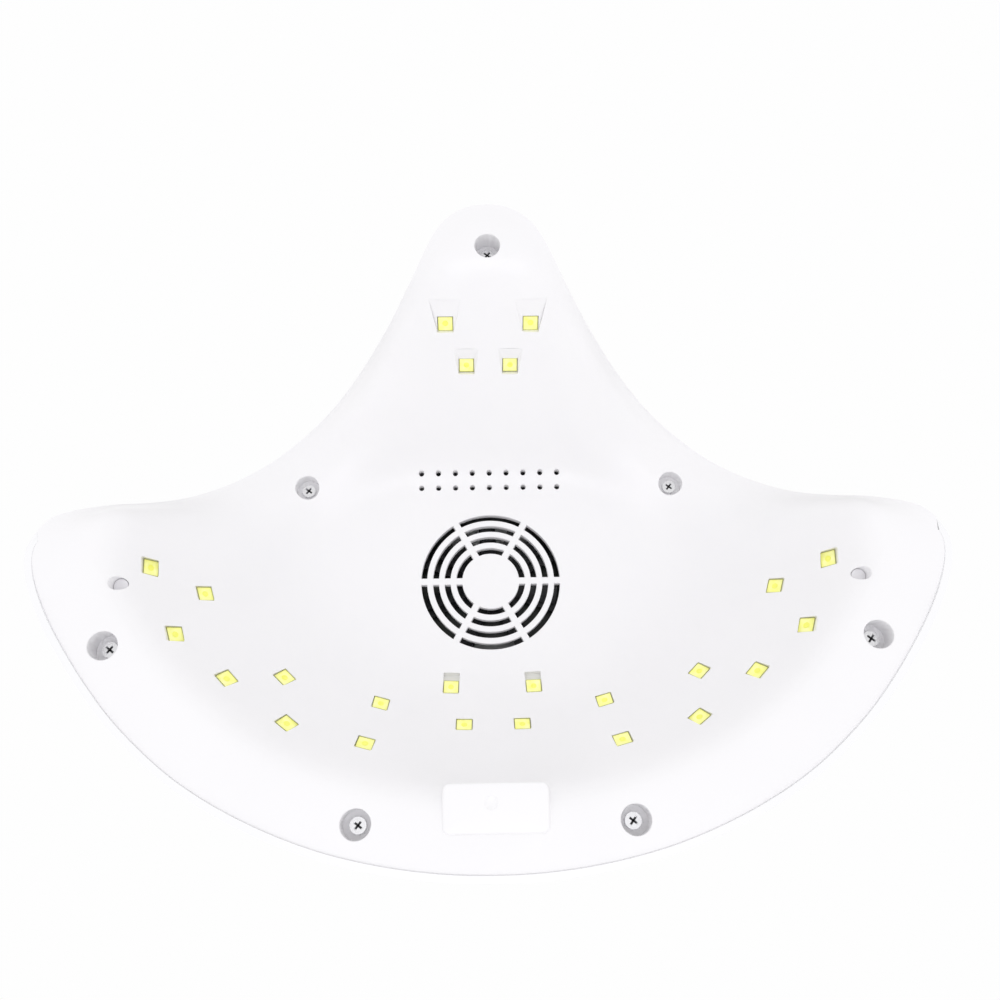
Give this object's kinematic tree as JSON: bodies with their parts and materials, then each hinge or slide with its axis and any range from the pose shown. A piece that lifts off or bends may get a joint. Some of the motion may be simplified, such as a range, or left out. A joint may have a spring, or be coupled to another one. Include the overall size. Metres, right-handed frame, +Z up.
{
  "type": "LED nail lamp",
  "caption": "White two-hand LED nail lamp with a crescent footprint, arched hand openings, LED windows, a fan grille and timer buttons on top.",
  "frame": {"origin": "middle of the footprint, on the table", "axes": "+Z up, -Y towards the user (the narrow front leg), +X to the user's right, along its longest extent"},
  "size_m": [0.3134, 0.2465, 0.098],
  "materials": {
    "shell_white": "gloss",
    "liner_white": "satin gloss",
    "panel_grey": "gloss",
    "display_black": "gloss",
    "button_white": "gloss",
    "board_dark": "satin",
    "board_white": "satin",
    "led_body": "matt",
    "phosphor": "satin",
    "steel": "bright",
    "fan_black": "satin",
    "sensor_pale": "gloss",
    "jack_black": "satin",
    "nickel": "polished",
    "brass": "bright",
    "ferrite": "matt",
    "can": "satin",
    "lead_black": "matt"
  },
  "bodies": {
    "lamp": {"outer_shell": "shell_white", "inner_liner": "liner_white", "top_panel": "panel_grey", "display_window": "display_black", "display_module": "fan_black", "tact_switches": "jack_black", "control_board": "board_dark", "board_screws": "steel", "fan_frame": "fan_black", "fan_screws": "steel", "led_board_nose": "board_white", "led_board_right": "board_white", "led_board_left": "board_white", "led_board_rear": "board_white", "led_packages": "led_body", "led_phosphors": "phosphor", "liner_screws": "steel", "driver_board": "board_dark", "driver_screws": "steel", "driver_inductor": "ferrite", "driver_capacitors": "can", "driver_chips": "jack_black", "ir_window_right": "sensor_pale", "ir_window_left": "sensor_pale", "dc_jack": "jack_black", "jack_pin": "brass", "jack_nut": "nickel", "power_lead": "lead_black", "fan_lead": "lead_black"},
    "rotor": {"fan_rotor": "fan_black"},
    "button_10_cap": {"button_10": "button_white"},
    "button_30_cap": {"button_30": "button_white"},
    "button_60_cap": {"button_60": "button_white"},
    "button_99_cap": {"button_99": "button_white"}
  },
  "joints": [
    {"name": "fan_spin", "type": "hinge", "parent": "lamp", "child": "rotor", "pos_m": [0, 0.0093, 0.0788], "axis": [0, 0, 1], "continuous": true},
    {"name": "press_10", "type": "slide", "parent": "lamp", "child": "button_10_cap", "axis": [0, 0, -1], "range_m": [0, 0.0008], "stiffness_N_per_m": 1500},
    {"name": "press_30", "type": "slide", "parent": "lamp", "child": "button_30_cap", "axis": [0, 0, -1], "range_m": [0, 0.0008], "stiffness_N_per_m": 1500},
    {"name": "press_60", "type": "slide", "parent": "lamp", "child": "button_60_cap", "axis": [0, 0, -1], "range_m": [0, 0.0008], "stiffness_N_per_m": 1500},
    {"name": "press_99", "type": "slide", "parent": "lamp", "child": "button_99_cap", "axis": [0, 0, -1], "range_m": [0, 0.0008], "stiffness_N_per_m": 1500}
  ]
}
